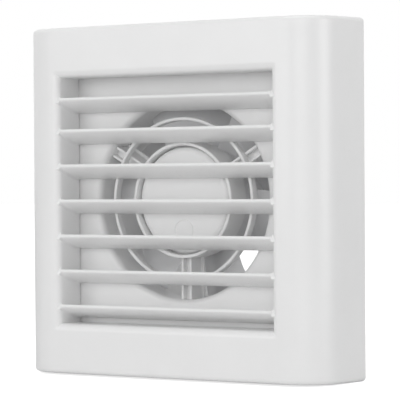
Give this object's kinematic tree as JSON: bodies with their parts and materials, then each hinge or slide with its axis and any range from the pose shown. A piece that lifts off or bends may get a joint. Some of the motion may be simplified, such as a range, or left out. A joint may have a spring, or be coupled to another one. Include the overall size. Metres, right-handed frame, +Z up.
{
  "type": "axial extractor fan",
  "caption": "Square wall-mounted axial extractor fan with a louvred clip-on front, an open motor bracket and a round duct spigot.",
  "frame": {"origin": "on the duct axis, in the plane of the wall that the base flange lies on", "axes": "+Y along the duct axis into the wall, +Z up, +X to the right as seen from the room"},
  "size_m": [0.158, 0.086, 0.158],
  "materials": {
    "cover_abs": "smooth semi-gloss white ABS",
    "body_abs": "smooth satin white ABS",
    "impeller_plastic": "semi-gloss pale plastic",
    "grommet_rubber": "matte rubber",
    "nylon": "matte natural nylon",
    "terminal_brass": "turned brass",
    "zinc_steel": "bright zinc-plated steel",
    "shaft_steel": "ground steel",
    "lamination_steel": "stacked silicon-steel sheet with a dull edge",
    "coil_copper": "enamelled copper wire",
    "shading_copper": "bare copper",
    "cage_aluminium": "cast aluminium",
    "sintered_bronze": "oil-filled sintered bronze",
    "lead_brown": "brown PVC insulation",
    "lead_blue": "blue PVC insulation",
    "fuse_ceramic": "glazed ceramic",
    "fibre": "waxed fibre"
  },
  "bodies": {
    "body": {"fan_body": "body_abs", "motor_bracket": "body_abs", "cable_grommet": "grommet_rubber", "terminal_block": "nylon", "terminal_tubes": "terminal_brass", "terminal_screws": "zinc_steel", "terminal_block_screw": "zinc_steel", "cable_clamp": "body_abs", "cable_clamp_screws": "zinc_steel", "live_lead": "lead_brown", "neutral_lead": "lead_blue", "stator_stack": "lamination_steel", "coil_bobbins": "nylon", "coil_windings": "coil_copper", "shading_rings": "shading_copper", "thermal_fuse": "fuse_ceramic", "front_end_bracket": "zinc_steel", "rear_end_bracket": "zinc_steel", "front_bearing": "sintered_bronze", "rear_bearing": "sintered_bronze", "motor_screws": "zinc_steel"},
    "cover": {"front_cover": "cover_abs"},
    "rotor": {"impeller": "impeller_plastic", "impeller_clip": "zinc_steel", "motor_shaft": "shaft_steel", "rotor_core": "lamination_steel", "rotor_cage": "cage_aluminium", "thrust_washers": "fibre"}
  },
  "joints": [
    {"name": "impeller_spin", "type": "hinge", "parent": "body", "child": "rotor", "pos_m": [0, 0, 0], "axis": [0, 1, 0], "continuous": true},
    {"name": "cover_pull", "type": "slide", "parent": "body", "child": "cover", "axis": [0, -1, 0], "range_m": [0, 0.045]}
  ]
}
